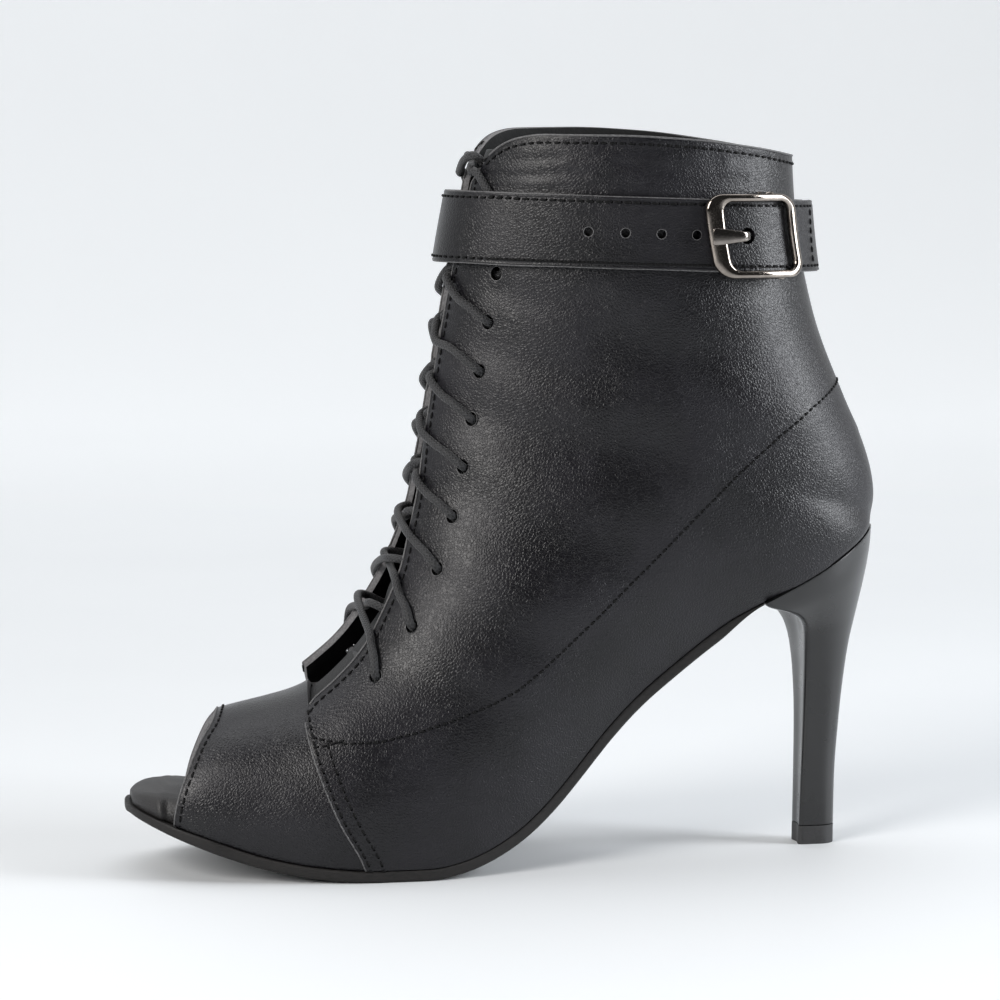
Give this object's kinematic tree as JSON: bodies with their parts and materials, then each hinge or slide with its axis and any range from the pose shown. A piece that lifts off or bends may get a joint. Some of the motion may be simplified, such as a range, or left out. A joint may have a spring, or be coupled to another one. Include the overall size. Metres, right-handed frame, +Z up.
{
  "type": "lace-up ankle boot with a stiletto heel",
  "caption": "Left peep-toe ankle boot in black leather with front lacing, a stiletto heel and a buckled ankle strap.",
  "frame": {"origin": "middle of the flat spot under the ball of the foot, on the floor", "axes": "+Z up, toe towards -X, heel towards +X, outer (lateral) side towards -Y"},
  "size_m": [0.2174, 0.0764, 0.2081],
  "materials": {
    "black_leather": "smooth black, soft sheen",
    "tongue_leather": "matte black",
    "insole_leather": "soft black, satin",
    "sole_rubber": "fine matte texture",
    "heel_plastic": "satin black",
    "tip_rubber": "matte",
    "lace_cord": "waxed cotton cord",
    "buckle_metal": "polished dark nickel"
  },
  "bodies": {
    "root": {"upper": "black_leather", "tongue": "tongue_leather", "insole": "insole_leather", "outsole": "sole_rubber", "heel": "heel_plastic", "heel_top_piece": "tip_rubber", "lace_cross_1": "lace_cord", "lace_cross_2": "lace_cord", "lace_cross_3": "lace_cord", "lace_cross_4": "lace_cord", "lace_cross_5": "lace_cord", "lace_cross_6": "lace_cord", "lace_cross_7": "lace_cord", "lace_cross_8": "lace_cord", "lace_cross_top": "lace_cord", "ankle_strap": "black_leather", "buckle_frame": "buckle_metal", "buckle_prong": "buckle_metal"}
  },
  "joints": []
}
